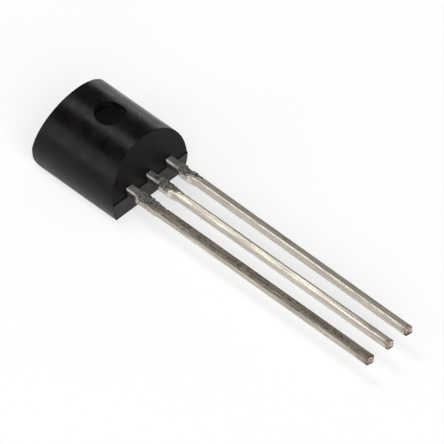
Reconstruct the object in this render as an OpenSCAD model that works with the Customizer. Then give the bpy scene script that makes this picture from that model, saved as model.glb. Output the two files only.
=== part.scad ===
// Three-lead voltage reference in a small moulded D-shaped body.
// It lies on its flat side: X runs across the leads, the leads point along -Y, Z is up.
// The origin is the middle of the flat face. All sizes are in millimetres.

/* [Moulded body] */
// Width of the body across the plane where the two mould halves meet
body_w = 4.77; // [4.45:0.01:4.8]
// Length of the body along the leads, measured in that parting plane
body_l = 5.13; // [4.6:0.01:5.33]
// Height of the rounded half, from the parting plane to its crest
round_h = 2.44; // [2.42:0.01:2.7]
// Depth of the flat half, from the parting plane to the flat face
flat_h = 1.05; // [0.9:0.01:1.25]
// Width of the flat face
flat_w = 4.38; // [3.6:0.01:4.4]
// Lean of both ends of the rounded half, which lets it leave its mould
round_draft = 10; // [2:0.5:12]
// Lean of both ends of the flat half
flat_draft = 1; // [0.5:0.5:4]
// Radius of the flat half's edge at the end away from the leads
far_edge_r = 0.42; // [0.1:0.01:0.6]

/* [Ejector-pin recess] */
// Diameter of the recess that the ejector pin leaves in the rounded side
recess_d = 1.46; // [1:0.01:1.8]
// Depth of the recess below the crest
recess_depth = 0.26; // [0.2:0.01:0.4]

/* [Leads] */
// Distance between neighbouring leads
lead_pitch = 1.27; // [1.2:0.01:1.35]
// Width of a lead
lead_w = 0.44; // [0.38:0.01:0.55]
// Thickness of the stamped lead sheet
lead_t = 0.36; // [0.3:0.01:0.42]
// Length of the leads outside the body
lead_l = 14.5; // [10:0.1:16]

/* [Cut stubs of the tie bar] */
// Distance from the body to the cut stub on each side of a lead
stub_start = 0.55; // [0.3:0.01:1]
// Length of a stub along the lead
stub_l = 0.8; // [0.4:0.01:1.2]
// How far a stub stands out from the side of the lead
stub_out = 0.08; // [0.04:0.01:0.15]
// Length over which a stub runs back to the plain lead
stub_fade = 0.4; // [0.2:0.01:0.6]

/* [Paddle and bond posts inside the body] */
// Width of the paddle that carries the die
paddle_w = 1.7; // [1.5:0.01:1.9]
// Length of the paddle along the leads
paddle_l = 1.9; // [1.6:0.01:2.2]
// Distance from the lead end of the body to the paddle
paddle_in = 1.6; // [1.4:0.01:1.8]
// Width of the bond post at the inner end of each outer lead
post_w = 0.85; // [0.65:0.01:0.95]
// Length of a bond post along the leads
post_l = 1.3; // [1:0.01:1.5]
// Distance from the lead end of the body to a bond post
post_in = 0.75; // [0.6:0.01:1]

/* [Die and bond wires] */
// Length of the side of the square silicon die
die_w = 1; // [0.7:0.01:1.15]
// Thickness of the die
die_t = 0.25; // [0.15:0.01:0.35]
// Thickness of the silver-epoxy layer under the die
attach_t = 0.03; // [0.02:0.005:0.05]
// Width of the epoxy fillet that shows around the die
attach_rim = 0.06; // [0.03:0.01:0.1]
// Distance of the bond pads from the edge of the die
pad_in = 0.12; // [0.1:0.01:0.2]
// Distance of a wire's landing from the inner end of its bond post
land_in = 0.4; // [0.2:0.01:0.6]
// Diameter of a bond wire
wire_d = 0.05; // [0.04:0.005:0.06]
// Diameter of the ball that starts each bond
ball_d = 0.12; // [0.1:0.01:0.16]
// Height of that ball
ball_h = 0.04; // [0.03:0.005:0.05]
// Height of each wire's loop above the top of the die
loop_h = 0.3; // [0.2:0.01:0.4]
// Bend radius of the wire at the top of its loop
loop_r = 0.1; // [0.08:0.01:0.12]

/* [Hidden] */
$fn = 96;

epoxy = [0.2, 0.2, 0.21];
tin = [0.78, 0.76, 0.72];
silver_epoxy = [0.7, 0.7, 0.68];
silicon = [0.3, 0.33, 0.4];
gold = [0.9, 0.72, 0.3];

parting_z = flat_h;                       // the underside of the leads lies in the parting plane
lead_end_y = -body_l / 2;
far_end_y = body_l / 2;
round_r = body_w / 2;
round_z = parting_z + round_h - round_r;  // axis of the rounded side
body_h = flat_h + round_h;
spare = 1;                                // how far cutting shapes run past what they cut

round_back = round_h * tan(round_draft);  // how far the ends lean back at the crest
flat_back = flat_h * tan(flat_draft);     // and at the flat face

tip_y = lead_end_y - lead_l;
stub_y = lead_end_y - stub_start;         // a stub runs from here
cut_y = stub_y - stub_l;                  // to here,
plain_y = cut_y - stub_fade;              // and is back at the plain lead here

paddle_y = lead_end_y + paddle_in;
paddle_end = paddle_y + paddle_l;
post_y = lead_end_y + post_in;
post_end = post_y + post_l;
post_edge = post_w - lead_w / 2;          // a post's outer edge, from the middle of its lead

attach_z = parting_z + lead_t;
die_z = attach_z + attach_t;
die_top = die_z + die_t;
die_y = (paddle_y + paddle_end) / 2;
die_edge = die_y + die_w / 2;

// Where the wires start on the die and where they land, as [x, y] for the +X side
post_pad = [die_w / 2 - pad_in, die_y - die_w / 2 + pad_in];
post_land = [lead_pitch + (post_edge - lead_w / 2) / 2, post_end - land_in];
down_pad = [0, die_edge - pad_in];
down_land = [0, (die_edge + paddle_end) / 2];

// The body seen along the leads: a semicircle on a short straight side, over a tapered half
module cross_section() {
    translate([0, round_z])
        intersection() {
            circle(r = round_r);
            translate([-round_r, 0]) square([2 * round_r, round_r]);
        }
    polygon([
        [-round_r, round_z], [-round_r, parting_z], [-flat_w / 2, 0],
        [flat_w / 2, 0], [round_r, parting_z], [round_r, round_z]
    ]);
}

// The body seen from its side, as [y, z]: drafted ends, and one rounded edge at the far end
module side_profile() {
    far_flat_y = far_end_y - flat_back;
    edge_y = far_end_y - (flat_h - far_edge_r) * tan(flat_draft) - far_edge_r / cos(flat_draft);
    polygon([
        [lead_end_y, parting_z],
        [lead_end_y + round_back, body_h],
        [far_end_y - round_back, body_h],
        [far_end_y, parting_z]
    ]);
    difference() {
        polygon([
            [lead_end_y, parting_z],
            [far_end_y, parting_z],
            [far_flat_y, 0],
            [lead_end_y + flat_back, 0]
        ]);
        difference() {
            translate([edge_y, -spare]) square([far_edge_r + spare, far_edge_r + spare]);
            translate([edge_y, far_edge_r]) circle(r = far_edge_r);
        }
    }
}

module moulding() {
    difference() {
        intersection() {
            translate([0, far_end_y + spare, 0])
                rotate([90, 0, 0]) linear_extrude(body_l + 2 * spare) cross_section();
            translate([-round_r - spare, 0, 0])
                rotate([90, 0, 90]) linear_extrude(2 * (round_r + spare)) side_profile();
        }
        translate([0, 0, body_h - recess_depth]) cylinder(d = recess_d, h = recess_depth + spare);
    }
}

// The right-hand side of a lead outside the body, from its tip up, with the sheared stub
lead_side = [
    [lead_w / 2, tip_y],
    [lead_w / 2, plain_y],
    [lead_w / 2 + stub_out, cut_y],
    [lead_w / 2 + stub_out, stub_y],
    [lead_w / 2, stub_y]
];

function flipped(points) = [for (i = [len(points) - 1:-1:0]) [-points[i][0], points[i][1]]];

// A lead is one stamped sheet: its outside part, and the shape of its inner end
module stamped_lead(inner_end) {
    translate([0, 0, parting_z])
        linear_extrude(lead_t) polygon(concat(lead_side, inner_end, flipped(lead_side)));
}

// The bond post widens away from the paddle. side is -1 for the lead at -X and 1 at +X
module outer_lead(side) {
    post = [
        [lead_w / 2, post_y], [post_edge, post_y], [post_edge, post_end], [-lead_w / 2, post_end]
    ];
    translate([side * lead_pitch, 0, 0]) stamped_lead(side > 0 ? post : flipped(post));
}

module centre_lead() {
    paddle = [[lead_w / 2, paddle_y], [paddle_w / 2, paddle_y], [paddle_w / 2, paddle_end]];
    stamped_lead(concat(paddle, flipped(paddle)));
}

module attach_layer() {
    attach_w = die_w + 2 * attach_rim;
    translate([-attach_w / 2, die_y - attach_w / 2, attach_z]) cube([attach_w, attach_w, attach_t]);
}

module silicon_die() {
    translate([-die_w / 2, die_y - die_w / 2, die_z]) cube([die_w, die_w, die_t]);
}

// A bonded wire from a pad on the die to a landing on the lead sheet: up, across and down
module wire_loop(from, to) {
    run = norm(to - from);
    rise = loop_h - loop_r;
    drop = die_top + loop_h - loop_r - attach_z;
    heading = atan2(to[1] - from[1], to[0] - from[0]);
    translate([from[0], from[1], 0])
        rotate([0, 0, heading]) {
            translate([0, 0, die_top]) {
                cylinder(d = ball_d, h = ball_h);
                cylinder(d = wire_d, h = rise);
            }
            translate([loop_r, 0, die_top + rise])
                rotate([90, 0, 0]) rotate([0, 0, 90])
                    rotate_extrude(angle = 90) translate([loop_r, 0]) circle(d = wire_d);
            translate([loop_r, 0, die_top + loop_h])
                rotate([0, 90, 0]) cylinder(d = wire_d, h = run - 2 * loop_r);
            translate([run - loop_r, 0, die_top + rise])
                rotate([90, 0, 0])
                    rotate_extrude(angle = 90) translate([loop_r, 0]) circle(d = wire_d);
            translate([run, 0, attach_z]) cylinder(d = wire_d, h = drop);
            translate([run, 0, attach_z]) cylinder(d = ball_d, h = ball_h);
        }
}

module post_wire(side) {
    wire_loop([side * post_pad[0], post_pad[1]], [side * post_land[0], post_land[1]]);
}

module down_wire() {
    wire_loop(down_pad, down_land);
}

module inner_pieces() {
    outer_lead(-1);
    centre_lead();
    outer_lead(1);
    attach_layer();
    silicon_die();
    post_wire(-1);
    down_wire();
    post_wire(1);
}

module body() {
    color(epoxy)
        difference() {
            moulding();
            inner_pieces();
        }
}

module lead_1() { color(tin) outer_lead(-1); }
module lead_2() { color(tin) centre_lead(); }
module lead_3() { color(tin) outer_lead(1); }
module die_attach() { color(silver_epoxy) attach_layer(); }
module die() { color(silicon) silicon_die(); }
module bond_wire_1() { color(gold) post_wire(-1); }
module bond_wire_2() { color(gold) down_wire(); }
module bond_wire_3() { color(gold) post_wire(1); }

body();
lead_1();
lead_2();
lead_3();
die_attach();
die();
bond_wire_1();
bond_wire_2();
bond_wire_3();
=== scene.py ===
import math

import bmesh
import bpy
from mathutils import Matrix, Vector


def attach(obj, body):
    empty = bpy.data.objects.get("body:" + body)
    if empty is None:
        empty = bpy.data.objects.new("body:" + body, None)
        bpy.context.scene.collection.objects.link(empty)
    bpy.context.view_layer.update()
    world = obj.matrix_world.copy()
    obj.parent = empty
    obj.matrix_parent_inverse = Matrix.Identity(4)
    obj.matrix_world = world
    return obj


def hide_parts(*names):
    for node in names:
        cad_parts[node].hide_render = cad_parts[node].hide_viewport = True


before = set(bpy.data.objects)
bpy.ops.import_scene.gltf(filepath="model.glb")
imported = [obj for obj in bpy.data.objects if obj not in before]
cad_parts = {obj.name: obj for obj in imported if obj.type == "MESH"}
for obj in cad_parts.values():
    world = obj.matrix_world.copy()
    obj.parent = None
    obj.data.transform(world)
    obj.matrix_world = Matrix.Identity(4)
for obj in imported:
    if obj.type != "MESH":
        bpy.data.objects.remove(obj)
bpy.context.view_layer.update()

MM = 0.001  # the sizes below are in millimetres, and Blender's unit is the metre


# ---------------------------------------------------------------------------
# Camera
# A long lens looks down at the rounded side and the lead end, from the left.
# ---------------------------------------------------------------------------
camera_azimuth = math.radians(-47.782958)
camera_elevation = math.radians(46.488313)
camera_roll = math.radians(1.771921)
camera_distance = 305.775
camera_aside = 3.16989    # how far the view's middle is from the lead end, to the right
camera_below = 1.90505    # and downwards
camera_target = Vector((0, -2.565, 1.05))
film_w, lens_length = 36, 554.637
nearest, farthest = 10, 10000

back = Vector((
    math.sin(camera_azimuth) * math.cos(camera_elevation),
    -math.cos(camera_azimuth) * math.cos(camera_elevation),
    math.sin(camera_elevation),
))
level_right = Vector((math.cos(camera_azimuth), math.sin(camera_azimuth), 0))
level_up = back.cross(level_right)
view_right = level_right * math.cos(camera_roll) + level_up * math.sin(camera_roll)
view_up = level_up * math.cos(camera_roll) - level_right * math.sin(camera_roll)
camera_place = (
    camera_target + camera_aside * view_right - camera_below * view_up + camera_distance * back
)

camera_data = bpy.data.cameras.new("camera")
camera_data.sensor_width = film_w
camera_data.lens = lens_length
camera_data.clip_start = nearest * MM
camera_data.clip_end = farthest * MM
camera = bpy.data.objects.new("camera", camera_data)
camera.matrix_world = (
    Matrix.Translation(camera_place * MM)
    @ Matrix((view_right, view_up, back)).transposed().to_4x4()
)
bpy.context.collection.objects.link(camera)
bpy.context.scene.camera = camera


# ---------------------------------------------------------------------------
# Studio
# A pale table under soft lamps. The room is dark overhead and pale near the horizon.
# ---------------------------------------------------------------------------
bpy.context.scene.view_settings.view_transform = "Standard"


def add_node(tree, kind, **sockets):
    """A new node, with values or links for its input sockets by name or number."""
    node = tree.nodes.new(kind)
    set_sockets(tree, node, sockets)
    return node


def set_sockets(tree, node, sockets):
    """Sets or links a node's inputs. i0 is the first input, and _ stands for a space."""
    for name, value in sockets.items():
        key = int(name[1:]) if name[0] == "i" and name[1:].isdigit() else name.replace("_", " ")
        socket = node.inputs[key]
        if isinstance(value, bpy.types.NodeSocket):
            tree.links.new(value, socket)
        else:
            socket.default_value = value


def new_material(name):
    """A node material with an empty tree and its output node."""
    material = bpy.data.materials.new(name)
    material.use_nodes = True
    material.node_tree.nodes.clear()
    output = material.node_tree.nodes.new("ShaderNodeOutputMaterial")
    return material, material.node_tree, output


floor_half = 400        # half the side of the square table
floor_white = 0.97      # how much light the table throws back
floor_lift = 0.58       # share of plain white in the table, as the camera sees it
corner_signs = ((-1, -1), (1, -1), (1, 1), (-1, 1))
floor_mesh = bpy.data.meshes.new("table_top")
floor_mesh.from_pydata(
    [(x * floor_half * MM, y * floor_half * MM, 0) for x, y in corner_signs], [], [(0, 1, 2, 3)]
)
floor = bpy.data.objects.new("table_top", floor_mesh)
bpy.context.collection.objects.link(floor)

floor_material, tree, output = new_material("pale_table")
matt_white = add_node(
    tree, "ShaderNodeBsdfDiffuse", Color=(floor_white, floor_white, floor_white, 1)
)
plain_white = add_node(tree, "ShaderNodeEmission", Color=(1, 1, 1, 1), Strength=1.0)
path = add_node(tree, "ShaderNodeLightPath").outputs
seen = path["Is Camera Ray"]
for ray in ("Is Glossy Ray", "Is Transmission Ray"):
    either = add_node(tree, "ShaderNodeMath", i0=seen, i1=path[ray])
    either.operation = "MAXIMUM"
    seen = either.outputs[0]
paler = add_node(tree, "ShaderNodeMath", i0=seen, i1=floor_lift)
paler.operation = "MULTIPLY"
floor_shader = add_node(
    tree, "ShaderNodeMixShader", i0=paler.outputs[0], i1=matt_white.outputs[0],
    i2=plain_white.outputs[0],
)
tree.links.new(floor_shader.outputs[0], output.inputs["Surface"])
floor_mesh.materials.append(floor_material)


def soft_lamp(name, direction, distance, width, depth, radiance):
    """A rectangular lamp that faces the object. Its power follows from how bright it looks."""
    data = bpy.data.lights.new(name, "AREA")
    data.shape = "RECTANGLE"
    data.size = width * MM
    data.size_y = depth * MM
    data.energy = radiance * math.pi * data.size * data.size_y
    lamp = bpy.data.objects.new(name, data)
    towards = Vector(direction).normalized()
    lamp.location = towards * distance * MM
    lamp.rotation_mode = "QUATERNION"
    lamp.rotation_quaternion = towards.to_track_quat("Z", "Y")
    bpy.context.collection.objects.link(lamp)


# Name, direction from the object, distance, width, depth and how bright the lamp looks
soft_lamp("front_lamp", (-0.45, -0.66, 0.60), 500, 520, 520, 3.0)
soft_lamp("overhead_strip", (0.0, 0.46, 0.89), 400, 130, 300, 3.6)
soft_lamp("right_panel", (0.87, 0.46, 0.09), 400, 200, 80, 1.6)
soft_lamp("left_panel", (-0.85, 0.40, 0.30), 400, 260, 220, 1.9)

horizon_glow, ceiling_glow = 1.0, 0.25
glow_top, dark_start = 0.04, 0.34   # sines of the heights between which the room darkens

world = bpy.data.worlds.new("room")
world.use_nodes = True
tree = world.node_tree
tree.nodes.clear()
direction = add_node(tree, "ShaderNodeTexCoord").outputs["Generated"]
height = add_node(tree, "ShaderNodeSeparateXYZ", Vector=direction).outputs["Z"]
strength = add_node(
    tree, "ShaderNodeMapRange", Value=height, From_Min=glow_top, From_Max=dark_start,
    To_Min=horizon_glow, To_Max=ceiling_glow,
)
strength.interpolation_type = "SMOOTHSTEP"
sky = add_node(
    tree, "ShaderNodeBackground", Color=(1, 1, 1, 1), Strength=strength.outputs["Result"]
)
output = tree.nodes.new("ShaderNodeOutputWorld")
tree.links.new(sky.outputs["Background"], output.inputs["Surface"])
bpy.context.scene.world = world


# ---------------------------------------------------------------------------
# Moulded body
# Black epoxy, transfer-moulded in two halves round the leads and the die. Both ends lean
# back so that it leaves its mould, and the ejector pin leaves a round recess in the crest.
# ---------------------------------------------------------------------------
body_w, body_l = 4.77, 5.13
parting_z, body_h = 1.05, 3.49
flat_w = 4.38
round_r = body_w / 2
round_z = body_h - round_r
round_draft, flat_draft = math.radians(10), math.radians(1)
parting_ledge = 0.05    # how far the rounded half's lead end is set back, over the leads
ledge_rise = 0.05       # and the height of the slope up to it
far_edge_r = 0.42
recess_r, recess_floor = 0.73, 3.23

side_bulge = 0.055      # how far the sides of the flat half are rounded out
end_edge_r = 0.015      # rounding of the edges round both ends
long_edge_r = 0.05      # and of the long edges of the flat face
rim_r = 0.008           # and of the recess's rim
recess_corner_r = 0.015  # and of the corner at its floor
edge_steps = 4          # faces across each of these rounded edges

round_steps = 144       # faces round the rounded side
first_step = 3          # those below it make room for the ledge
low_levels = 8          # rows of points on the flat half, beside its rounded far edge
level_step = 0.1        # and the distance between the rows above them
last_level = 0.015      # how far under the parting plane the last row lies
length_steps = 84       # faces along the side
hole_half = 17          # half the faces, each way, that the recess's patch takes the place of
patch_steps = 6         # faces from the edge of that hole to the rim
floor_rings = (0.45, 0.25, 0.1)   # radii of the rings of points across the recess's floor
weld = 0.0001           # points nearer to each other than this become one


def rounded_edge(point, normal_a, normal_b, radius, steps):
    """Points of the arc that rounds an edge between two surfaces, from one to the other."""
    cosine = normal_a.dot(normal_b)
    if cosine > 0.9999:
        return [point.copy() for step in range(steps + 1)]
    centre = point - (normal_a + normal_b) * (radius / (1 + cosine))
    return [
        centre + radius * normal_a.slerp(normal_b, step / steps) for step in range(steps + 1)
    ]


def wall_normal_at(x, z):
    """Outwards from the axis of the rounded side."""
    return Vector((x, 0, z - round_z)).normalized()


def left_profile():
    """The left half of the cross-section, from the flat face to the crest: (point, normal)."""
    def side_x(z):
        share = z / parting_z
        return -flat_w / 2 - (round_r - flat_w / 2) * share - 4 * side_bulge * share * (1 - share)

    def side_normal(z):
        slope = ((round_r - flat_w / 2) + 4 * side_bulge * (1 - 2 * z / parting_z)) / parting_z
        return Vector((-1, 0, -slope)).normalized()

    down, aside = Vector((0, 0, -1)), side_normal(0)
    corner = Vector((-flat_w / 2, 0, 0))
    arc = rounded_edge(corner, down, aside, long_edge_r, edge_steps)
    result = [
        (point, down.slerp(aside, step / edge_steps)) for step, point in enumerate(arc)
    ]
    start_z = arc[-1].z
    low_step = (far_edge_r - start_z) / low_levels
    levels = [start_z + low_step * step for step in range(1, low_levels + 1)]
    levels += [far_edge_r + level_step * step for step in range(1, 6)]
    for z in levels + [parting_z - last_level]:
        result.append((Vector((side_x(z), 0, z)), side_normal(z)))
    result.append((Vector((-round_r, 0, parting_z + ledge_rise)), Vector((-1, 0, 0))))
    for step in range(first_step, round_steps // 2 + 1):
        angle = math.pi * step / round_steps
        normal = Vector((-math.cos(angle), 0, math.sin(angle)))
        result.append((Vector((0, 0, round_z)) + round_r * normal, normal))
    return result


def end_at(z, end):
    """Where an end of the body is at a height, and its normal. end is -1 for the lead end."""
    if z > parting_z:
        y = body_l / 2 - (z - parting_z) * math.tan(round_draft)
        if end < 0:
            y -= parting_ledge
        return end * y, Vector((0, end * math.cos(round_draft), math.sin(round_draft)))
    edge_y = (
        body_l / 2 - (parting_z - far_edge_r) * math.tan(flat_draft)
        - far_edge_r / math.cos(flat_draft)
    )
    if end > 0 and z < far_edge_r * (1 - math.sin(flat_draft)):
        rise = far_edge_r - max(z, 0)
        reach = math.sqrt(max(far_edge_r ** 2 - rise ** 2, 0))
        return edge_y + reach, Vector((0, reach, -rise)).normalized()
    y = body_l / 2 - (parting_z - z) * math.tan(flat_draft)
    return end * y, Vector((0, end * math.cos(flat_draft), -math.sin(flat_draft)))


def build_body():
    """The moulding as one closed shell, with its recess. The leads pass into its lead end."""
    mesh = bmesh.new()
    half = left_profile()
    mirror = [
        (Vector((-point.x, 0, point.z)), Vector((-normal.x, 0, normal.z)))
        for point, normal in reversed(half[:-1])
    ]
    profile = half + mirror
    count = len(profile)
    crest = len(half) - 1

    def vertex(point):
        return mesh.verts.new(point * MM)

    def face(corners, smooth=True):
        made = mesh.faces.new(corners)
        made.smooth = smooth

    # The wall, from the lead end to the far end, one column of vertices per profile point
    columns = []
    for point, normal in profile:
        lead_y, lead_normal = end_at(point.z, -1)
        far_y, far_normal = end_at(point.z, 1)
        lead_arc = rounded_edge(
            Vector((point.x, lead_y, point.z)), lead_normal, normal, end_edge_r, edge_steps
        )
        far_arc = rounded_edge(
            Vector((point.x, far_y, point.z)), normal, far_normal, end_edge_r, edge_steps
        )
        start, stop = lead_arc[-1], far_arc[0]
        between = [start.lerp(stop, step / length_steps) for step in range(1, length_steps)]
        columns.append([vertex(place) for place in lead_arc + between + far_arc])
    rows = len(columns[0])
    hole_rows = range(rows // 2 - hole_half, rows // 2 + hole_half)
    hole_columns = range(crest - hole_half, crest + hole_half)
    for i in range(count - 1):
        for j in range(rows - 1):
            if i in hole_columns and j in hole_rows:
                continue
            face((columns[i][j], columns[i][j + 1], columns[i + 1][j + 1], columns[i + 1][j]))
    for j in range(rows - 1):  # the flat face closes the loop
        face((columns[-1][j], columns[-1][j + 1], columns[0][j + 1], columns[0][j]), smooth=False)

    # Both ends, in strips from side to side
    for row, turned in ((0, False), (rows - 1, True)):
        for i in range(crest):
            left, right = columns[i][row], columns[count - 1 - i][row]
            next_left, next_right = columns[i + 1][row], columns[count - 2 - i][row]
            corners = [left, next_left, next_right, right]
            if next_left is next_right:
                corners = [left, next_left, right]
            if turned:
                corners.reverse()
            curved = turned and left.co.z < far_edge_r * MM
            face(corners, smooth=curved)

    # The recess: rings from the hole's edge to the rim, down the wall and across the floor
    first_column, last_column = hole_columns[0], hole_columns[-1] + 1
    first_row, last_row = hole_rows[0], hole_rows[-1] + 1
    edge = [columns[i][first_row] for i in range(first_column, last_column)]
    edge += [columns[last_column][j] for j in range(first_row, last_row)]
    edge += [columns[i][last_row] for i in range(last_column, first_column, -1)]
    edge += [columns[first_column][j] for j in range(last_row, first_row, -1)]
    rings = [edge]
    turns = [math.atan2(corner.co.y, corner.co.x) for corner in edge]

    def on_wall(x, y):
        return Vector((x, y, round_z + math.sqrt(round_r ** 2 - x ** 2)))

    spokes = []
    for corner, turn in zip(edge, turns):
        across = Vector((math.cos(turn), math.sin(turn), 0))
        rim = on_wall(recess_r * across.x, recess_r * across.y)
        rim_arc = rounded_edge(rim, wall_normal_at(rim.x, rim.z), -across, rim_r, edge_steps)
        outer = corner.co / MM
        spoke = []
        for step in range(1, patch_steps):
            place = outer.lerp(rim_arc[0], step / patch_steps)
            spoke.append(on_wall(place.x, place.y))
        spoke += rim_arc
        top_z = rim_arc[-1].z
        foot_z = recess_floor + recess_corner_r
        spoke.append(Vector((recess_r * across.x, recess_r * across.y, (top_z + foot_z) / 2)))
        for step in range(edge_steps + 1):
            bend = math.pi / 2 * step / edge_steps
            reach = recess_r - recess_corner_r * (1 - math.cos(bend))
            spoke.append(Vector((
                reach * across.x, reach * across.y,
                foot_z - recess_corner_r * math.sin(bend),
            )))
        for reach in floor_rings:
            spoke.append(Vector((reach * across.x, reach * across.y, recess_floor)))
        spokes.append([vertex(place) for place in spoke])
    for ring in zip(*spokes):
        rings.append(list(ring))
    around = len(edge)
    for outer, inner in zip(rings, rings[1:]):
        for k in range(around):
            after = (k + 1) % around
            face((outer[k], inner[k], inner[after], outer[after]))
    middle = vertex(Vector((0, 0, recess_floor)))
    for k in range(around):
        face((rings[-1][k], middle, rings[-1][(k + 1) % around]))

    bmesh.ops.remove_doubles(mesh, verts=mesh.verts, dist=weld * MM)
    bmesh.ops.recalc_face_normals(mesh, faces=mesh.faces)
    data = bpy.data.meshes.new("epoxy_moulding")
    mesh.to_mesh(data)
    mesh.free()
    body = bpy.data.objects.new("epoxy_moulding", data)
    bpy.context.collection.objects.link(body)
    return body


moulding = build_body()
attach(moulding, "root")
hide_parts("body")


def grain_group():
    """The fine unevenness of a moulded, sawn or drawn surface, as a height."""
    group = bpy.data.node_groups.new("fine_grain", "ShaderNodeTree")
    interface = group.interface
    interface.new_socket("Scale", in_out="INPUT", socket_type="NodeSocketFloat")
    interface.new_socket("Height", in_out="OUTPUT", socket_type="NodeSocketFloat")
    start = group.nodes.new("NodeGroupInput").outputs
    spot = add_node(group, "ShaderNodeTexCoord").outputs["Object"]
    texture = add_node(group, "ShaderNodeTexNoise", Vector=spot, Scale=start["Scale"], Detail=3)
    end = group.nodes.new("NodeGroupOutput")
    group.links.new(texture.outputs[0], end.inputs["Height"])
    return group


def grain_height(tree, group, scale):
    """The grain's height in a material. A larger scale is a finer grain."""
    node = tree.nodes.new("ShaderNodeGroup")
    node.node_tree = group
    set_sockets(tree, node, {"Scale": scale})
    return node.outputs["Height"]


def arithmetic(tree):
    """Functions that add a sum, a change of range or a mix of two colours to a tree."""
    def calculate(operation, *values, clamp=False):
        node = tree.nodes.new("ShaderNodeMath")
        node.operation = operation
        node.use_clamp = clamp
        set_sockets(tree, node, {f"i{k}": value for k, value in enumerate(values)})
        return node.outputs[0]

    def ramp(value, low, high, to_low=0.0, to_high=1.0):
        return add_node(
            tree, "ShaderNodeMapRange", Value=value, From_Min=low, From_Max=high,
            To_Min=to_low, To_Max=to_high,
        ).outputs[0]

    def mix(share, first, second):
        node = tree.nodes.new("ShaderNodeMix")
        node.data_type = "RGBA"
        set_sockets(tree, node, {"i0": share, "i6": first, "i7": second})
        return node.outputs[2]

    return calculate, ramp, mix


violet_black, brown_black = (0.0009, 0.0006, 0.0016, 1), (0.0032, 0.0018, 0.0012, 1)
# On the next line: a grey for the painted reflection on the flat half's lead end, and the scratch's
# own grey
painted_reflection_grey, scratch_grey = (0.018, 0.020, 0.024, 1), (0.045, 0.043, 0.045, 1)
mould_roughness, cloud_sheen, matt_end, shiny_recess = 0.29, 0.5, 0.2, 0.05
mould_grain = 14000
crest_low, crest_high = 3.0, 3.1    # heights between which the effects on the crest begin

# The scratch beside the recess: its start, its direction, its length, its width and its fade
scratch_x, scratch_y = 1.158, -0.722
scratch_dx, scratch_dy = -0.7225, -0.6913
scratch_length, scratch_w, scratch_fade = 0.70, 0.045, 0.04

fine_grain = grain_group()
epoxy_material, tree, output = new_material("black_epoxy")
calculate, ramp, mix = arithmetic(tree)
place = add_node(tree, "ShaderNodeTexCoord").outputs["Object"]
parts = add_node(tree, "ShaderNodeSeparateXYZ", Vector=place).outputs
facing = add_node(
    tree, "ShaderNodeSeparateXYZ",
    Vector=tree.nodes.new("ShaderNodeNewGeometry").outputs["Normal"],
).outputs
grain = grain_height(tree, fine_grain, mould_grain)
cloud = add_node(tree, "ShaderNodeTexNoise", Vector=place, Scale=1600, Detail=5).outputs[0]

# The rounded half's ends come matt from the mould, and the recess a little shinier
at_end = ramp(calculate("ABSOLUTE", facing["Y"]), 0.5, 0.9)
round_end = calculate("MULTIPLY", at_end, ramp(facing["Z"], 0.04, 0.12))
flat_end = calculate("MULTIPLY", at_end, ramp(facing["Z"], 0.04, -0.02))
on_crest = ramp(parts["Z"], crest_low * MM, crest_high * MM)
from_middle = calculate("SQRT", calculate(
    "MULTIPLY_ADD", parts["X"], parts["X"], calculate("MULTIPLY", parts["Y"], parts["Y"])
))
in_recess = calculate(
    "MULTIPLY", ramp(from_middle, (recess_r + 0.015) * MM, (recess_r - 0.02) * MM), on_crest
)
epoxy_roughness = calculate(
    "MULTIPLY_ADD", calculate("SUBTRACT", cloud, 0.5), cloud_sheen, mould_roughness
)
epoxy_roughness = calculate("MULTIPLY_ADD", round_end, matt_end, epoxy_roughness)
epoxy_roughness = calculate("MULTIPLY_ADD", in_recess, -shiny_recess, epoxy_roughness)

# The scratch, measured along its own direction and away from its line
along_scratch = calculate(
    "ADD", calculate("MULTIPLY_ADD", parts["X"], scratch_dx / MM, -scratch_dx * scratch_x),
    calculate("MULTIPLY_ADD", parts["Y"], scratch_dy / MM, -scratch_dy * scratch_y),
)
off_scratch = calculate("ABSOLUTE", calculate(
    "ADD", calculate("MULTIPLY_ADD", parts["X"], -scratch_dy / MM, scratch_dy * scratch_x),
    calculate("MULTIPLY_ADD", parts["Y"], scratch_dx / MM, -scratch_dx * scratch_y),
))
scratch = calculate(
    "MULTIPLY", ramp(along_scratch, 0.0, scratch_fade),
    ramp(along_scratch, scratch_length, scratch_length - scratch_fade),
)
scratch = calculate("MULTIPLY", scratch, ramp(off_scratch, scratch_w, scratch_w / 3))
scratch = calculate("MULTIPLY", scratch, calculate("MULTIPLY", ramp(grain, 0.36, 0.5), on_crest))

epoxy_colour = mix(ramp(cloud, 0.35, 0.65), violet_black, brown_black)
# Painted reflection on the flat half's lead end: a lighter grey that grows stronger towards
# positive x
painted_reflection = calculate("MULTIPLY", flat_end, ramp(parts["X"], -2.4 * MM, 2.0 * MM, 0.35, 1.0))
epoxy_colour = mix(painted_reflection, epoxy_colour, painted_reflection_grey)
epoxy_colour = mix(scratch, epoxy_colour, scratch_grey)
epoxy_bump = add_node(tree, "ShaderNodeBump", Height=grain, Distance=0.004 * MM, Strength=0.6)
epoxy_shader = add_node(
    tree, "ShaderNodeBsdfPrincipled", Base_Color=epoxy_colour, Roughness=epoxy_roughness,
    Specular_IOR_Level=0.15, Normal=epoxy_bump.outputs["Normal"],
)
tree.links.new(epoxy_shader.outputs["BSDF"], output.inputs["Surface"])
moulding.data.materials.append(epoxy_material)


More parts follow.
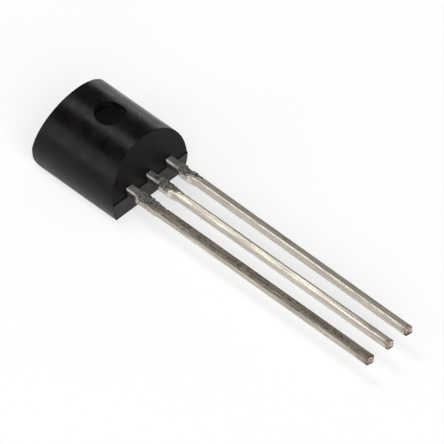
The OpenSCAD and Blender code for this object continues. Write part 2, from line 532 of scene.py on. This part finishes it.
# ---------------------------------------------------------------------------
# Leads
# Stamped copper-alloy sheet, rolled to soft corners and tinned. Cutting off the tie bar
# leaves a short wide stub with a torn, dark face, and a wide inner end grips the epoxy.
# ---------------------------------------------------------------------------
lead_pitch, lead_l, lead_w = 1.27, 14.5, 0.44
sheet_w, sheet_t = 0.468, 0.388       # over the soft corners, which swell a little
lead_mid_z = parting_z + 0.18
lead_end_y = -body_l / 2              # where the leads leave the body
stub_y, plain_y = lead_end_y - 0.4, lead_end_y - 2.2   # the cut tie bar lies between these
finer_y = -5.1                        # nearer than this the points along a lead lie closer
tip_y = lead_end_y - lead_l
tip_round, tip_dome = 0.05, 0.0005
tip_slant = 0.15                      # the tips are sheared out of square, longer on the right
post_w, post_l, post_in = 0.85, 1.3, 0.75              # bond post on an outer lead
paddle_w, paddle_l, paddle_in = 1.7, 1.9, 1.6          # paddle on the middle lead
shoulder_step = 0.01                  # length over which the sheet widens to its inner end
inset_r = 0.15                        # what is this far out, or farther, is drawn in at the tip
tear_start, tear_end = 0.5, 1.3       # from the body, on the left-hand edge
tear_taper = 1.1                      # how much farther the tear goes on the right


def spread(start, stop, spacing):
    """Evenly spaced places from start up to, but not including, stop."""
    count = max(1, round((stop - start) / spacing))
    return [start + (stop - start) * k / count for k in range(count)]


def smooth_share(value, start, stop):
    """0 before start, 1 after stop, and a soft step between them."""
    share = min(max((value - start) / (stop - start), 0), 1)
    return share * share * (3 - 2 * share)


def reach_at(outline, out):
    """How far a side stands out from the plain lead, from (distance from the body, reach)."""
    for (near, low), (far, high) in zip(outline, outline[1:]):
        if near <= out <= far:
            return low + (high - low) * (out - near) / (far - near)
    return 0


def lead_stations(inner, sides, rolls):
    """Along a lead from its tip: (y, left reach, right reach, inset, roll, slant)."""
    inner_in, inner_l, inner_left, inner_right = inner
    inner_y = lead_end_y + inner_in
    inner_end = inner_y + inner_l
    left_side, right_side = sides
    roll, tip_roll = rolls
    rows = [(tip_y - tip_dome, 0, 0, 2 * tip_round)]
    for k in range(edge_steps + 1):
        bend = math.pi / 2 * k / edge_steps
        rows.append((
            tip_y + tip_round * (1 - math.cos(bend)), 0, 0, tip_round * (1 - math.sin(bend))
        ))
    for start, stop, spacing in (
        (tip_y + 0.11, tip_y + 0.5, 0.04), (tip_y + 0.5, finer_y, 0.12), (finer_y, plain_y, 0.03)
    ):
        rows += [(y, 0, 0, 0) for y in spread(start, stop, spacing)]
    for y in spread(plain_y, stub_y, 0.024):
        out = lead_end_y - y
        rows.append((y, reach_at(left_side, out), reach_at(right_side, out), 0))
    shoulder_y = inner_y - shoulder_step
    for start, stop, spacing in ((stub_y, lead_end_y, 0.04), (lead_end_y, shoulder_y, 0.15)):
        rows += [(y, 0, 0, 0) for y in spread(start, stop, spacing)]
    last_y = inner_end - shoulder_step
    rows.append((shoulder_y, 0, 0, 0))
    for y in [inner_y] + spread(inner_y + 0.1, last_y, 0.1) + [last_y]:
        rows.append((y, inner_left, inner_right, 0))
    rows.append((inner_end, inner_left, inner_right, 0.02))

    # The roll changes near the tip and dies away at the stub. Only the tip is slanted.
    result = []
    for y, left, right, inset in rows:
        plain = 1 - smooth_share(y, plain_y + 0.15, plain_y + 1.15)
        angle = plain * (tip_roll + (roll - tip_roll) * smooth_share(y, tip_y + 0.5, tip_y + 4.5))
        slant = tip_slant * (1 - smooth_share(y, tip_y + 0.1, tip_y + 0.8))
        result.append((y, left, right, inset, math.radians(angle), slant))
    return result


def stamped_lead_tree():
    """Sweeps the sheet's soft-cornered section along a lead, then widens, rolls and roughens it."""
    tree = bpy.data.node_groups.new("stamped_lead", "GeometryNodeTree")
    interface = tree.interface
    interface.new_socket("Path", in_out="INPUT", socket_type="NodeSocketGeometry")
    inputs = {}
    for name, kind, value in (
        ("Sheet width", "Float", sheet_w * MM), ("Sheet thickness", "Float", sheet_t * MM),
        ("Corner power", "Float", 5.0), ("Section points", "Int", 56),
        ("Middle X", "Float", 0.0), ("Middle Z", "Float", lead_mid_z * MM),
        ("Body Y", "Float", lead_end_y * MM), ("Tear height", "Float", 0.09 * MM),
        ("Unevenness", "Float", 0.03), ("Seed", "Float", 1.0),
    ):
        socket = interface.new_socket(name, in_out="INPUT", socket_type="NodeSocket" + kind)
        socket.default_value = value
        inputs[name] = socket.identifier
    socket = interface.new_socket("Finish", in_out="INPUT", socket_type="NodeSocketMaterial")
    inputs["Finish"] = socket.identifier
    interface.new_socket("Lead", in_out="OUTPUT", socket_type="NodeSocketGeometry")
    start = tree.nodes.new("NodeGroupInput").outputs
    end = tree.nodes.new("NodeGroupOutput")
    calculate, ramp, _ = arithmetic(tree)

    def position():
        node = add_node(tree, "GeometryNodeInputPosition")
        return add_node(tree, "ShaderNodeSeparateXYZ", Vector=node.outputs[0]).outputs

    def off_middle(place, axis):
        return calculate("SUBTRACT", place[axis], start["Middle " + axis])

    def moved(geometry, **axes):
        offset = add_node(tree, "ShaderNodeCombineXYZ", **axes).outputs[0]
        return add_node(tree, "GeometryNodeSetPosition", Geometry=geometry, Offset=offset)

    def attribute(name):
        node = add_node(tree, "GeometryNodeInputNamedAttribute", Name=name)
        node.data_type = "FLOAT"
        return node.outputs["Attribute"]

    # The section: a circle pushed out towards a rectangle with soft corners
    circle = add_node(
        tree, "GeometryNodeCurvePrimitiveCircle", Resolution=start["Section points"], Radius=1.0
    )
    place = position()
    power = start["Corner power"]
    total = calculate(
        "ADD", calculate("POWER", calculate("ABSOLUTE", place["X"]), power),
        calculate("POWER", calculate("ABSOLUTE", place["Y"]), power),
    )
    push = calculate("POWER", total, calculate("DIVIDE", -1.0, power))
    half_t = calculate("MULTIPLY", calculate("MULTIPLY", start["Sheet thickness"], 0.5), push)
    half_w = calculate("MULTIPLY", calculate("MULTIPLY", start["Sheet width"], 0.5), push)
    section = add_node(
        tree, "GeometryNodeSetPosition", Geometry=circle.outputs[0],
        Position=add_node(
            tree, "ShaderNodeCombineXYZ", X=calculate("MULTIPLY", place["X"], half_t),
            Y=calculate("MULTIPLY", place["Y"], half_w),
        ).outputs[0],
    )
    curve = add_node(tree, "GeometryNodeMeshToCurve", Mesh=start["Path"])
    sweep = add_node(
        tree, "GeometryNodeCurveToMesh", Curve=curve.outputs[0], Profile_Curve=section.outputs[0],
        Fill_Caps=True,
    )

    # The sides move out to the stubs and the inner end, and in round the tip
    place = position()
    across, upward = off_middle(place, "X"), off_middle(place, "Z")
    inset = attribute("inset")

    def inwards(reach):
        return calculate("MULTIPLY", ramp(reach, -inset_r * MM, inset_r * MM, 1.0, -1.0), inset)

    move_x = calculate(
        "SUBTRACT",
        calculate("MULTIPLY", attribute("right_reach"), calculate("GREATER_THAN", across, 0.0)),
        calculate("MULTIPLY", attribute("left_reach"), calculate("LESS_THAN", across, 0.0)),
    )
    move_x = calculate("ADD", move_x, inwards(across))
    from_left = calculate("MULTIPLY_ADD", start["Sheet width"], 0.5, across)
    move_y = calculate("MULTIPLY", from_left, calculate("MULTIPLY", attribute("slant"), -1.0))
    widened = moved(sweep.outputs[0], X=move_x, Y=move_y, Z=inwards(upward))

    # The torn patch: on top of the stub, and tapering away along the right-hand edge
    place = position()
    across = off_middle(place, "X")
    out = calculate("SUBTRACT", start["Body Y"], place["Y"])
    share = calculate("ADD", calculate("DIVIDE", across, start["Sheet width"]), 0.5)
    limit = calculate(
        "MULTIPLY_ADD", calculate("POWER", share, 1.6), tear_taper * MM, tear_end * MM
    )
    before_end = ramp(calculate("SUBTRACT", limit, out), -0.03 * MM, 0.06 * MM)
    after_start = ramp(out, tear_start * MM, (tear_start + 0.1) * MM)
    noise = add_node(tree, "ShaderNodeTexNoise", Scale=7000.0, Detail=3.0, Roughness=0.7)
    noise.noise_dimensions = "4D"
    set_sockets(tree, noise, {"W": start["Seed"]})
    tear = calculate("SUBTRACT", noise.outputs[0], 0.55)
    tear = calculate("MULTIPLY", tear, calculate("MULTIPLY", after_start, before_end))
    tear = calculate("MULTIPLY", tear, calculate("MULTIPLY", start["Tear height"], 2.0))
    normal = add_node(tree, "GeometryNodeInputNormal")
    shift = add_node(tree, "ShaderNodeVectorMath", i0=normal.outputs[0])
    shift.operation = "SCALE"
    tree.links.new(tear, shift.inputs["Scale"])
    torn = add_node(
        tree, "GeometryNodeSetPosition", Geometry=widened.outputs[0], Offset=shift.outputs[0]
    )

    # The whole section rolls about its own middle, a little unevenly
    place = position()
    across, upward = off_middle(place, "X"), off_middle(place, "Z")
    wander = tree.nodes.new("ShaderNodeTexNoise")
    wander.noise_dimensions = "1D"
    phase = calculate("MULTIPLY", start["Seed"], 7.3)
    set_sockets(tree, wander, {
        "W": calculate("MULTIPLY_ADD", place["Y"], 900.0, phase), "Scale": 1.0, "Detail": 2.0,
    })
    wander = calculate("SUBTRACT", wander.outputs[0], 0.5)
    outside = ramp(calculate("SUBTRACT", start["Body Y"], place["Y"]), 1.2 * MM, 2.2 * MM)
    wander = calculate("MULTIPLY", calculate("MULTIPLY", wander, outside), start["Unevenness"])
    roll = calculate("ADD", attribute("roll"), wander)
    sine, cosine = calculate("SINE", roll), calculate("COSINE", roll)
    turned_x = calculate(
        "ADD", calculate("MULTIPLY", across, cosine), calculate("MULTIPLY", upward, sine)
    )
    turned_z = calculate(
        "SUBTRACT", calculate("MULTIPLY", upward, cosine), calculate("MULTIPLY", across, sine)
    )
    rolled = moved(
        torn.outputs[0], X=calculate("SUBTRACT", turned_x, across),
        Z=calculate("SUBTRACT", turned_z, upward),
    )
    smooth = add_node(tree, "GeometryNodeSetShadeSmooth", i0=rolled.outputs[0])
    real = add_node(tree, "GeometryNodeRealizeInstances", i0=smooth.outputs[0])
    finished = add_node(
        tree, "GeometryNodeSetMaterial", i0=real.outputs[0], Material=start["Finish"]
    )
    tree.links.new(finished.outputs[0], end.inputs[0])
    return tree, inputs


pinkish_tin, olive_tin = (0.69, 0.61, 0.548, 1), (0.661, 0.622, 0.525, 1)
grey_speck = (0.36, 0.33, 0.295, 1)
dark_tarnish, light_tarnish = (0.110, 0.099, 0.080, 1), (0.330, 0.280, 0.235, 1)
dark_tear, light_tear = (0.050, 0.049, 0.043, 1), (0.215, 0.21, 0.185, 1)
tear_pit, tear_glint = (0.038, 0.032, 0.026, 1), (0.42, 0.41, 0.38, 1)
dark_root, light_root = (0.055, 0.052, 0.046, 1), (0.24, 0.23, 0.21, 1)
# Painted shade for the lead's lower faces next to the body
exit_shade_colour = (0.062, 0.058, 0.056, 1)
# The next two colours paint a highlight along the left-hand top edge near the body
dim_ridge_highlight, bright_ridge_highlight = (0.50, 0.475, 0.445, 1), (0.80, 0.76, 0.72, 1)
dull_shear, bright_shear = (0.60, 0.56, 0.54, 1), (0.80, 0.755, 0.73, 1)
dark_cut, light_cut = (0.22, 0.165, 0.145, 1), (0.66, 0.56, 0.53, 1)
# The second colour on the next line is a dark burr, also used as painted shade on the tip's right
# and lower edges
bare_copper, dark_burr_and_shade = (0.42, 0.27, 0.17, 1), (0.055, 0.043, 0.034, 1)

# The two places, in millimetres, between which a part of the finish comes in: out from the
# body, away from the tip, above the table and across from the lead's own middle
root_out, ridge_highlight_out, shear_out = (0.62, 0.48), (0.72, 0.20), (1.75, 1.45)
burr_in, bare_in, smudge_in, cut_in = (0.15, 0.06), (0.42, 0.08), (0.35, 0.10), (0.016, 0.007)
darker_top_high, shade_high = (1.30, 1.35), (1.345, 1.30)
torn_high, ridge_highlight_high = (1.34, 1.40), (1.32, 1.36)
ridge_highlight_across, shear_across = (-0.13, -0.18), (0.245, 0.27)


def tin_group():
    """Colour, metal, roughness and height of the tinned sheet, from the place along a lead.

    The sheet's upper face is 1.42 mm above the table and its lower face 1.04 mm.
    """
    tree = bpy.data.node_groups.new("tinned_sheet", "ShaderNodeTree")
    interface = tree.interface
    for name, value in (
        ("Tarnish", 0.3), ("Streaks", 1.0), ("Dull top", 0.0), ("Film end", 0.6), ("Seed", 0.0)
    ):
        socket = interface.new_socket(name, in_out="INPUT", socket_type="NodeSocketFloat")
        socket.default_value = value
    interface.new_socket("Colour", in_out="OUTPUT", socket_type="NodeSocketColor")
    for name in ("Metal", "Roughness", "Height"):
        interface.new_socket(name, in_out="OUTPUT", socket_type="NodeSocketFloat")
    start = tree.nodes.new("NodeGroupInput").outputs
    end = tree.nodes.new("NodeGroupOutput")
    calculate, ramp, mix = arithmetic(tree)

    def noise(stretch, detail):
        node = tree.nodes.new("ShaderNodeVectorMath")
        node.operation = "MULTIPLY"
        set_sockets(tree, node, {"i0": place, "i1": stretch})
        texture = add_node(tree, "ShaderNodeTexNoise", Detail=detail, Scale=1.0)
        texture.noise_dimensions = "4D"
        set_sockets(tree, texture, {"Vector": node.outputs[0], "W": start["Seed"]})
        return texture.outputs[0]

    def around_half(value):
        return calculate("SUBTRACT", value, 0.5)

    place = add_node(tree, "ShaderNodeTexCoord").outputs["Object"]
    parts = add_node(tree, "ShaderNodeSeparateXYZ", Vector=place).outputs
    half_pitch = lead_pitch / 2

    # In millimetres: out from the body, across from the lead's own middle, and above the table
    out = calculate("MULTIPLY_ADD", parts["Y"], -1 / MM, lead_end_y)
    across = calculate("WRAP", calculate("MULTIPLY", parts["X"], 1 / MM), half_pitch, -half_pitch)
    high = calculate("MULTIPLY", parts["Z"], 1 / MM)

    streak = noise((8000, 450, 8000), 4)
    hairline = noise((21000, 900, 21000), 2)
    mottle = noise((5000, 1800, 5000), 4)
    speck = noise((14000, 14000, 14000), 3)
    fine = noise((45000, 45000, 45000), 2)
    tint = noise((2600, 1300, 2600), 2)
    scuff = noise((3000, 900, 3000), 5)
    ragged = around_half(mottle)

    # Tin that has dulled in streaks, between a pinkish and an olive grey
    # On a lead given a darker top, its upper face and the top of its left face are made darker and
    # rougher
    darker_top_share = calculate("MULTIPLY", ramp(high, *darker_top_high), start["Dull top"])
    uneven = calculate("MULTIPLY", around_half(streak), 3.6)
    uneven = calculate("MULTIPLY_ADD", around_half(hairline), 2.2, uneven)
    uneven = calculate("MULTIPLY_ADD", ragged, 1.5, uneven)
    brown = calculate("MULTIPLY_ADD", uneven, start["Streaks"], start["Tarnish"])
    brown = calculate("ADD", brown, darker_top_share)
    brown = calculate("MULTIPLY_ADD", ramp(scuff, 0.60, 0.68), 0.4, brown)
    brown = ramp(brown, 0.0, 1.0)
    grain = calculate("MULTIPLY_ADD", ragged, 0.5, speck)
    tarnished = mix(ramp(grain, 0.36, 0.64), dark_tarnish, light_tarnish)
    tin = mix(ramp(tint, 0.40, 0.60), pinkish_tin, olive_tin)
    tin = mix(ramp(speck, 0.42, 0.60, 0.0, 0.55), tin, grey_speck)
    colour = mix(brown, tin, tarnished)

    # The torn patch on the stub, which wraps over its left-hand edge
    share = calculate("ADD", calculate("DIVIDE", across, sheet_w), 0.5, clamp=True)
    limit = calculate("MULTIPLY_ADD", calculate("POWER", share, 1.4), 1.3, 1.18)
    limit = calculate("MULTIPLY_ADD", ragged, 0.7, limit)
    before_end = ramp(calculate("SUBTRACT", limit, out), -0.05, 0.07)
    after_start = ramp(calculate("MULTIPLY_ADD", ragged, 0.9, out), 0.38, 0.62)
    wrap = calculate("MULTIPLY_ADD", ragged, 0.3, ramp(out, 0.7, 1.2, 0.04, 0.0))
    on_top = ramp(calculate("ADD", high, wrap), *torn_high)
    patch = calculate("MULTIPLY", calculate("MULTIPLY", after_start, before_end), on_top)
    torn_colour = mix(ramp(speck, 0.43, 0.60), dark_tear, light_tear)
    torn_colour = mix(ramp(mottle, 0.50, 0.36, 0.0, 0.6), torn_colour, tear_pit)
    torn_colour = mix(ramp(speck, 0.63, 0.68), torn_colour, tear_glint)

    # Where the lead leaves the body: dull on top, with a painted highlight along the left-hand
    # edge, and painted shade below it
    root = ramp(out, *root_out)
    root_colour = mix(ramp(mottle, 0.38, 0.62), dark_root, light_root)
    # Painted shade on the lead's lower faces next to the body
    near_body = ramp(calculate("SUBTRACT", out, start["Film end"]), 0.02, -0.02)
    exit_shade = calculate("MULTIPLY", ramp(high, *shade_high), near_body)
    root_colour = mix(exit_shade, root_colour, exit_shade_colour)
    # A painted highlight along the left-hand top edge near the body, pale and almost not metal
    ridge_highlight = calculate("MULTIPLY", ramp(out, *ridge_highlight_out), ramp(across, *ridge_highlight_across))
    ridge_highlight = calculate("MULTIPLY", ridge_highlight, ramp(high, *ridge_highlight_high))
    root = calculate("MAXIMUM", root, exit_shade)
    root = calculate("MULTIPLY", root, calculate("SUBTRACT", 1.0, ridge_highlight))
    patch = calculate("MULTIPLY", patch, calculate("SUBTRACT", 1.0, ridge_highlight))
    colour = mix(root, colour, root_colour)
    colour = mix(patch, colour, torn_colour)
    colour = mix(ridge_highlight, colour, mix(ramp(mottle, 0.38, 0.55), dim_ridge_highlight, bright_ridge_highlight))

    # The sheared sides of the stub: matt, with upright burnish marks
    on_side = ramp(calculate("ABSOLUTE", across), *shear_across)
    sheared = calculate("MULTIPLY", on_side, ramp(out, *shear_out))
    sheared = calculate("MULTIPLY", sheared, calculate("SUBTRACT", 1.0, patch))
    marks = calculate("MULTIPLY_ADD", start["Tarnish"], -0.4, noise((3000, 14000, 1500), 3))
    colour = mix(sheared, colour, mix(ramp(marks, 0.25, 0.60), dull_shear, bright_shear))

    # The sheared tip: bare copper alloy inside a dark burr. Painted shade makes the burr darker
    # on the right and lower edges, and the cut face darker along its lower edge and upper right
    from_tip = calculate("MULTIPLY_ADD", parts["Y"], 1 / MM, tip_slant * sheet_w / 2 - tip_y)
    from_tip = calculate("MULTIPLY_ADD", across, tip_slant, from_tip)
    corner = calculate("MAXIMUM", ramp(across, 0.0, 0.16), ramp(high, 1.20, 1.06))
    corner = calculate("MULTIPLY_ADD", corner, 0.6, 0.35)
    burr_and_shade = calculate("MULTIPLY", ramp(from_tip, *burr_in), corner)
    bare = calculate("MULTIPLY", ramp(from_tip, *bare_in), ramp(mottle, 0.40, 0.56, 0.0, 0.5))
    colour = mix(bare, colour, bare_copper)
    smudge = calculate("MULTIPLY", ramp(from_tip, *smudge_in), ramp(speck, 0.45, 0.62, 0.0, 0.5))
    burr_and_shade = calculate("MAXIMUM", burr_and_shade, smudge)
    colour = mix(burr_and_shade, colour, dark_burr_and_shade)
    cut_colour = mix(ramp(noise((9000, 9000, 9000), 3), 0.42, 0.58), dark_cut, light_cut)
    # Painted shade on the cut face, along its lower edge and upper right
    shaded_upper_lip = ramp(calculate("ADD", across, high), 1.50, 1.62)
    shaded_lip = calculate("MAXIMUM", ramp(high, 1.14, 1.07), shaded_upper_lip)
    cut_colour = mix(calculate("MULTIPLY", shaded_lip, 0.75), cut_colour, dark_burr_and_shade)
    colour = mix(ramp(from_tip, *cut_in), colour, cut_colour)

    matt = calculate("MAXIMUM", calculate("MAXIMUM", patch, root), sheared)
    metal = ramp(matt, 0.0, 1.0, 1.0, 0.35)
    metal = calculate("MULTIPLY", metal, ramp(ridge_highlight, 0.0, 1.0, 1.0, 0.1))
    roughness = calculate("MULTIPLY_ADD", streak, 0.16, 0.24)
    roughness = calculate("MULTIPLY_ADD", brown, 0.12, roughness)
    roughness = calculate("MULTIPLY_ADD", darker_top_share, 0.32, roughness)
    roughness = calculate("MULTIPLY_ADD", calculate("MAXIMUM", patch, burr_and_shade), 0.35, roughness)
    height = calculate("MULTIPLY_ADD", hairline, 0.4, calculate("MULTIPLY", streak, 0.6))
    height = calculate("MULTIPLY_ADD", speck, 0.1, height)
    height = calculate("MULTIPLY_ADD", fine, 0.12, height)
    height = calculate("MULTIPLY_ADD", calculate("MULTIPLY", speck, patch), 1.6, height)
    for name, value in (
        ("Colour", colour), ("Metal", metal), ("Roughness", roughness), ("Height", height)
    ):
        tree.links.new(value, end.inputs[name])
    return tree


def tin_material(name, group, **finish):
    """Tinned sheet, with a lead's own values for the group's inputs."""
    material, tree, output = new_material(name)
    sheet = tree.nodes.new("ShaderNodeGroup")
    sheet.node_tree = group
    set_sockets(tree, sheet, finish)
    bump = add_node(
        tree, "ShaderNodeBump", Height=sheet.outputs["Height"], Distance=0.01 * MM, Strength=1.0
    )
    shader = add_node(
        tree, "ShaderNodeBsdfPrincipled", Base_Color=sheet.outputs["Colour"],
        Metallic=sheet.outputs["Metal"], Roughness=sheet.outputs["Roughness"],
        Normal=bump.outputs["Normal"],
    )
    tree.links.new(shader.outputs["BSDF"], output.inputs["Surface"])
    return material


lead_tree, lead_inputs = stamped_lead_tree()
tinned_sheet = tin_group()


def build_lead(name, x, lean, stations, corner_power, material, seed):
    """A lead as a plain mesh. lean is how far its tip is off, to the right and upwards."""
    places = []
    for station in stations:
        y = station[0]
        off = lean * max(0, plain_y - y) / (plain_y - tip_y)
        places.append(((x + off) * MM, y * MM, (lead_mid_z + off) * MM))
    path = bpy.data.meshes.new(name + "_path")
    path.from_pydata(places, [(k, k + 1) for k in range(len(stations) - 1)], [])
    for column, attribute, unit in (
        (1, "left_reach", MM), (2, "right_reach", MM), (3, "inset", MM), (4, "roll", 1),
        (5, "slant", 1),
    ):
        layer = path.attributes.new(attribute, "FLOAT", "POINT")
        layer.data.foreach_set("value", [station[column] * unit for station in stations])
    guide = bpy.data.objects.new(name + "_guide", path)
    bpy.context.collection.objects.link(guide)
    modifier = guide.modifiers.new("stamped", "NODES")
    modifier.node_group = lead_tree
    modifier[lead_inputs["Middle X"]] = x * MM
    modifier[lead_inputs["Corner power"]] = corner_power
    modifier[lead_inputs["Seed"]] = seed
    modifier[lead_inputs["Finish"]] = material
    evaluated = guide.evaluated_get(bpy.context.evaluated_depsgraph_get())
    data = bpy.data.meshes.new_from_object(evaluated)
    data.name = name
    bpy.data.objects.remove(guide)
    lead = bpy.data.objects.new(name, data)
    bpy.context.collection.objects.link(lead)
    return lead


def fit_lead(number, lean, inner, sides, rolls, corner_power, tarnish, streaks, dull_top, film_end):
    """Makes a lead with a finish of its own, in place of its CAD node.

    inner is where the wide inner end starts, its length and its reach to the left and right.
    rolls are the turns near the body and at the tip, in degrees. A higher corner power is a
    sharper corner.
    """
    seed = 3.0 * number
    finish = tin_material(
        f"tin_finish_{number}", tinned_sheet, Tarnish=tarnish, Streaks=streaks,
        Dull_top=dull_top, Film_end=film_end, Seed=seed,
    )
    lead = build_lead(
        f"tinned_lead_{number}", (number - 2) * lead_pitch, lean,
        lead_stations(inner, sides, rolls), corner_power, finish, seed,
    )
    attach(lead, "root")
    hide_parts(f"lead_{number}")


# How far the cut tie bar stands out on the left and on the right: (from the body, reach)
lead_1_sides = (
    ((0.47, 0), (0.50, 0.07), (0.75, 0.065), (1.00, 0.045), (1.65, 0.045), (1.80, 0)),
    ((0.52, 0), (0.55, 0.08), (1.20, 0.08), (1.30, 0.05), (1.45, 0.055), (1.75, 0)),
)
lead_2_sides = (
    ((0.68, 0), (0.72, 0.09), (0.92, 0.065), (1.30, 0.095), (1.45, 0.07), (1.70, 0.02), (1.75, 0)),
    ((0.52, 0), (0.55, 0.075), (1.20, 0.065), (1.30, 0.04), (1.60, 0.03), (1.75, 0)),
)
lead_3_sides = (
    ((0.70, 0), (0.74, 0.08), (1.20, 0.08), (1.30, 0.10), (1.50, 0.04), (1.75, 0)),
    ((0.52, 0), (0.57, 0.06), (0.70, 0.025), (0.80, 0.045), (0.95, 0), (1.05, -0.025),
     (1.22, -0.025), (1.28, 0.03), (1.50, 0.02), (1.65, 0)),
)

# The paddle reaches out on both sides of its lead, and a post only on the side away from it.
# The first lead is the most tarnished, and the other two are bright.
post_reach, paddle_reach = post_w - lead_w, (paddle_w - lead_w) / 2
# The last value of each lead sets how far out from the body its painted shade reaches
fit_lead(
    1, lean=-0.01, inner=(post_in, post_l, post_reach, 0), sides=lead_1_sides, rolls=(3, 2),
    corner_power=10.0, tarnish=0.32, streaks=0.48, dull_top=0.75, film_end=0.45,
)
fit_lead(
    2, lean=-0.005, inner=(paddle_in, paddle_l, paddle_reach, paddle_reach),
    sides=lead_2_sides, rolls=(-11.5, -5.5), corner_power=5.0, tarnish=0.12, streaks=0.45,
    dull_top=0, film_end=0.70,
)
fit_lead(
    3, lean=-0.06, inner=(post_in, post_l, 0, post_reach), sides=lead_3_sides, rolls=(-2, -3),
    corner_power=6.0, tarnish=0.02, streaks=0.6, dull_top=0, film_end=0.72,
)


# ---------------------------------------------------------------------------
# Die, die attach and bond wires
# The sawn silicon die is glued to the paddle with silver-filled epoxy, and fine gold wires
# are bonded from it to the inner ends of the leads. All of it is sealed in the moulding.
# ---------------------------------------------------------------------------
def inner_finish(name, colour, metallic, roughness, scale):
    """An even finish with a fine grain."""
    material, tree, output = new_material(name)
    grain = grain_height(tree, fine_grain, scale)
    bump = add_node(tree, "ShaderNodeBump", Height=grain, Distance=0.002 * MM)
    shader = add_node(
        tree, "ShaderNodeBsdfPrincipled", Base_Color=(*colour, 1), Metallic=metallic,
        Roughness=roughness, Normal=bump.outputs["Normal"],
    )
    tree.links.new(shader.outputs["BSDF"], output.inputs["Surface"])
    return material


for material, nodes in (
    (inner_finish("silver_filled_epoxy", (0.62, 0.62, 0.60), 0.6, 0.5, 30000), ("die_attach",)),
    (inner_finish("polished_silicon", (0.16, 0.17, 0.20), 0.4, 0.15, 20000), ("die",)),
    (inner_finish("gold", (0.90, 0.66, 0.28), 1.0, 0.2, 40000),
     ("bond_wire_1", "bond_wire_2", "bond_wire_3")),
):
    for node in nodes:
        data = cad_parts[node].data
        data.materials.clear()
        data.materials.append(material)
